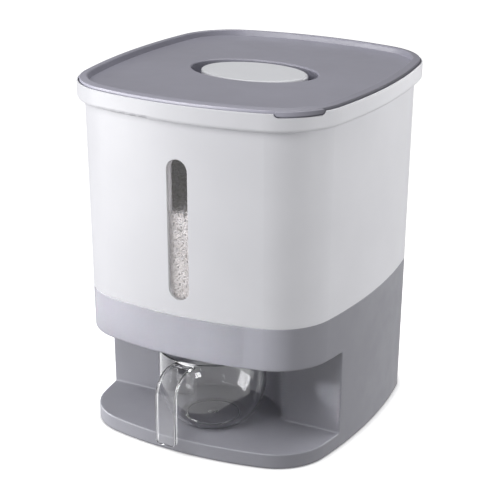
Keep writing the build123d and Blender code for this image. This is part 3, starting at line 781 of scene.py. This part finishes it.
# Painted contact shadow: occlusion near a piece darkens the floor's glow
painted_contact_shadow = add_node(floor_tree, "AmbientOcclusion", {"samples": 8, "Distance": painted_shadow_reach})
painted_shadow_tone = add_node(floor_tree, "ValToRGB", feeds={"Fac": painted_contact_shadow.outputs["AO"]})
painted_shadow_tone.color_ramp.elements[0].position = 0.35
painted_shadow_tone.color_ramp.elements[1].position = 0.85
painted_shadow_tone.color_ramp.elements[0].color = linear("5a5a5e")
painted_shadow_tone.color_ramp.elements[1].color = linear("ffffff")
floor_tree.links.new(painted_shadow_tone.outputs["Color"], floor_shader.inputs["Emission Color"])
floor.data.materials.append(floor_paint)
floor.visible_diffuse = False
floor.visible_glossy = False
floor.visible_shadow = False

aim = Vector((0, 0, 150 * MM))


def soft_light(name, azimuth, elevation, distance, width, height, share, target=aim):
    """A softbox at an azimuth and elevation; share is the light that it gives a white face."""
    a, e = math.radians(azimuth), math.radians(elevation)
    away = Vector((math.sin(a) * math.cos(e), -math.cos(a) * math.cos(e), math.sin(e)))
    lamp = bpy.data.lights.new(name, "AREA")
    lamp.shape = "RECTANGLE"
    lamp.size = width
    lamp.size_y = height
    lamp.energy = math.pi**2 * distance**2 * share
    box = bpy.data.objects.new(name, lamp)
    bpy.context.scene.collection.objects.link(box)
    box.location = target + away * distance
    box.rotation_euler = away.to_track_quat("Z", "Y").to_euler()
    box.visible_camera = False
    return box


def only_for(group_name, pieces, lights):
    """Flags lights off so that they reach a few pieces only."""
    group = bpy.data.collections.new(group_name)
    for piece in pieces:
        group.objects.link(piece)
    for light in lights:
        light.light_linking.receiver_collection = group
    return group


def keep_off(group_name, pieces, lights):
    """Flags lights off from a few pieces and lets them reach all others."""
    for entry in only_for(group_name, pieces, lights).collection_objects:
        entry.light_linking.link_state = "EXCLUDE"


def gridded_strip(name, azimuth, elevation, distance, length, share, target, grid):
    """A level strip light behind a grid: its light stays in a band about the target's height."""
    strip_height = 0.03
    # A grid gathers the light, so the lamp is turned down to give its share in the band's middle
    gathering = 6
    strip = soft_light(name, azimuth, elevation, distance, length, strip_height, share, target)
    strip.data.spread = math.radians(grid)
    strip.data.energy *= length * strip.data.spread / (gathering * distance)
    return strip


grey_names = ("base_shell", "bottom_cover", "rubber_feet", "gate_plate", "push_paddle")
base_pieces = [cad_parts[name] for name in grey_names]
upper_pieces = [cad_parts[name] for name in ("bucket", "lid_grip")]
the_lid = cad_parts["lid"]
skirt_level = Vector((0, -125, 128)) * MM
cup_left_side = Vector((-35, -105, 70)) * MM

soft_light("key_softbox", -50, 4, 1.4, 0.75, 0.9, 0.65)
soft_light("front_softbox", -12, 40, 1.4, 0.8, 0.6, 0.25)
soft_light("top_softbox", 170, 78, 1.4, 1.2, 1.2, 0.47)
keep_off("unlit_lid", [the_lid], [soft_light("right_softbox", 85, 2, 1.2, 0.5, 0.6, 0.2)])
only_for(
    "lit_bucket",
    upper_pieces,
    [
        soft_light("corner_softbox", 55, 25, 1.4, 0.6, 0.6, 0.06),
        soft_light("bucket_right_softbox", 112, 4, 1.2, 0.5, 0.6, 0.07),
    ],
)
only_for(
    "lit_sides",
    base_pieces + upper_pieces,
    [soft_light("back_softbox", 150, 10, 1.3, 0.8, 1.0, 0.34)],
)
only_for(
    "lit_base",
    base_pieces,
    [
        soft_light("base_left_softbox", -78, 4, 1.2, 0.6, 0.6, 0.9),
        soft_light("base_back_softbox", 135, 12, 1.2, 0.6, 0.6, 0.3),
        gridded_strip("base_key_strip", -48, 16, 1.4, 0.6, 1.15, skirt_level, 7),
        soft_light("base_front_softbox", 4, 52, 1.4, 0.8, 0.6, 0.46),
    ],
)
only_for(
    "lit_window",
    [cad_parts[name] for name in ("window_gasket", "window_frame")],
    [soft_light("window_right_softbox", 62, 10, 1.2, 0.4, 0.4, 0.5)],
)
only_for(
    "lit_lid",
    [the_lid],
    [
        soft_light("lid_left_softbox", -70, 8, 1.2, 0.9, 0.3, 0.15),
        soft_light("lid_front_softbox", -20, 8, 1.2, 0.3, 0.3, 0.6),
    ],
)
only_for(
    "lit_cup",
    [clear_cup],
    [
        soft_light("cup_left_strip", -95, 0, 0.9, 0.2, 0.6, 1.6),
        soft_light("cup_right_strip", 62, 16, 0.9, 0.2, 0.35, 1.5),
        soft_light("cup_left_panel", -118, -10, 0.2, 0.15, 0.12, 0.15, cup_left_side),
    ],
)

# Card under the floor, which glossy faces mirror in its place
card_size = 3.0
card_depth = 2 * MM
bpy.ops.mesh.primitive_plane_add(size=card_size, location=(0, 0, -card_depth))
card = bpy.context.object
card.name = "reflector_card"
card_paint = new_material(
    "pale_reflector_card",
    Base_Color=linear("000000"),
    Emission_Color=linear("ffffff"),
    Emission_Strength=0.58,
)[0]
card.data.materials.append(card_paint)
card.visible_camera = False
card.visible_diffuse = False
card.visible_transmission = False
card.visible_shadow = False

# Dim, even light from all round
world = bpy.data.worlds.new("studio_dim")
world.use_nodes = True
surround = world.node_tree.nodes["Background"]
surround.inputs["Color"].default_value = linear("ffffff")
surround.inputs["Strength"].default_value = 0.22
bpy.context.scene.world = world
bpy.context.scene.view_settings.view_transform = "Standard"

camera_data = bpy.data.cameras.new("photo_camera")
camera_data.lens = 107.57
camera_data.sensor_width = 36.0
camera_data.clip_end = 50.0
camera = bpy.data.objects.new("photo_camera", camera_data)
bpy.context.scene.collection.objects.link(camera)
camera.location = Vector((577.76, -1105.56, 601.72)) * MM
camera_aim = Vector((-0.74, -4.78, 144.44)) * MM
camera_roll = math.radians(0.24)
facing = (camera_aim - camera.location).to_track_quat("-Z", "Y").to_matrix()
camera.rotation_euler = (facing @ Matrix.Rotation(camera_roll, 3, "Z")).to_euler()
bpy.context.scene.camera = camera
